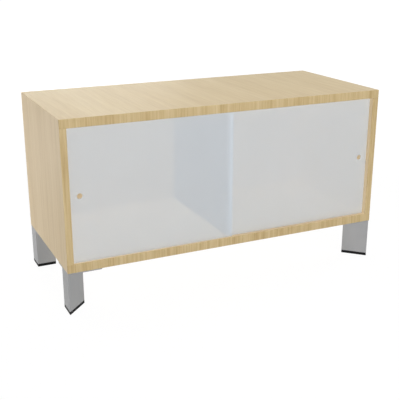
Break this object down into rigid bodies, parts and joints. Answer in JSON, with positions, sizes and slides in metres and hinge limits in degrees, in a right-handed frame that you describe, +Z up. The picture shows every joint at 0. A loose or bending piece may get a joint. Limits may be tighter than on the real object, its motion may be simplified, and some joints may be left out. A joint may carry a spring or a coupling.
{
  "type": "sliding door cabinet",
  "caption": "Low two-compartment cabinet with two translucent sliding doors that run past each other in front, on triangular metal tube legs.",
  "frame": {"origin": "on the floor under the middle of the case", "axes": "+X to the right seen from the front, +Y to the back, +Z up"},
  "size_m": [1.05, 0.45, 0.576],
  "materials": {
    "maple_decor": "pale maple wood decor, satin lacquer",
    "divider_grey": "board with pebble grey decor and edging, satin",
    "front_edging": "honey maple edging, satin",
    "end_edging": "pale maple edging, satin",
    "track_plastic": "extruded plastic, maple beige",
    "satin_sheet": "satin opal acrylic sheet, lets some light through",
    "glide_plastic": "slippery natural polyethylene",
    "bumper_rubber": "soft rubber, maple beige",
    "leg_paint": "silver grey powder coat, satin",
    "cap_plastic": "black moulded plastic",
    "screw_steel": "bright zinc plated",
    "cam_zinc": "die cast zinc, dull",
    "cover_plastic": "maple beige cover cap",
    "dowel_beech": "raw beech"
  },
  "bodies": {
    "case": {"top_panel": "maple_decor", "bottom_panel": "maple_decor", "left_side_panel": "maple_decor", "right_side_panel": "maple_decor", "back_panel": "maple_decor", "centre_divider": "divider_grey", "divider_edging": "divider_grey", "top_front_edging": "front_edging", "bottom_front_edging": "front_edging", "left_side_edging": "front_edging", "right_side_edging": "front_edging", "top_rear_edging": "end_edging", "top_left_edging": "end_edging", "top_right_edging": "end_edging", "bottom_rear_edging": "end_edging", "bottom_left_edging": "end_edging", "bottom_right_edging": "end_edging", "upper_track": "track_plastic", "lower_track": "track_plastic", "left_side_bumpers": "bumper_rubber", "right_side_bumpers": "bumper_rubber", "front_left_leg": "leg_paint", "front_right_leg": "leg_paint", "rear_left_leg": "leg_paint", "rear_right_leg": "leg_paint", "front_left_leg_plate": "leg_paint", "front_right_leg_plate": "leg_paint", "rear_left_leg_plate": "leg_paint", "rear_right_leg_plate": "leg_paint", "front_left_leg_cap": "cap_plastic", "front_right_leg_cap": "cap_plastic", "rear_left_leg_cap": "cap_plastic", "rear_right_leg_cap": "cap_plastic", "front_left_leg_screws": "screw_steel", "front_right_leg_screws": "screw_steel", "rear_left_leg_screws": "screw_steel", "rear_right_leg_screws": "screw_steel", "cam_bolts": "screw_steel", "cam_locks": "cam_zinc", "cam_covers": "cover_plastic", "joint_dowels": "dowel_beech"},
    "left_door": {"left_door": "satin_sheet", "left_door_glides": "glide_plastic"},
    "right_door": {"right_door": "satin_sheet", "right_door_glides": "glide_plastic"}
  },
  "joints": [
    {"name": "left_door_slide", "type": "slide", "parent": "case", "child": "left_door", "axis": [1, 0, 0], "range_m": [0, 0.4995]},
    {"name": "right_door_slide", "type": "slide", "parent": "case", "child": "right_door", "axis": [1, 0, 0], "range_m": [-0.4995, 0]}
  ]
}
